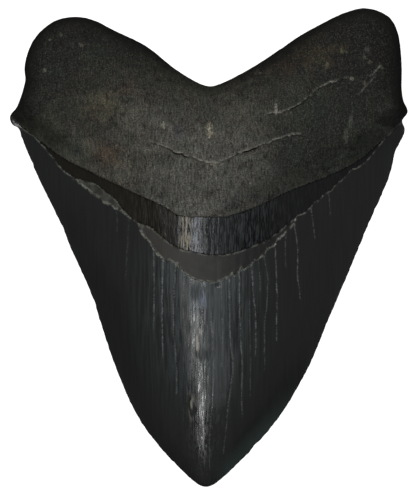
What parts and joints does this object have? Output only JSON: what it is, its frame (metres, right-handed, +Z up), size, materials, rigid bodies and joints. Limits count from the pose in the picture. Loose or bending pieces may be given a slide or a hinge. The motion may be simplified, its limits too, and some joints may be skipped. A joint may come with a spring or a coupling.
{
  "type": "fossil megalodon tooth",
  "caption": "Large triangular fossil shark tooth with a domed black enamel crown, a dark neck band and a grey-black root with two lobes, lying on its flat face.",
  "frame": {"origin": "bottom centre of the object's box, on the surface that the tooth lies on", "axes": "+Z up, away from the surface, out of the domed lingual face; +Y from the tip towards the root; +X to the right when the lingual face is seen from above with the root at the top"},
  "size_m": [0.1105, 0.1332, 0.027],
  "materials": {
    "tooth": "satin"
  },
  "bodies": {
    "root": {"tooth": "tooth"}
  },
  "joints": []
}
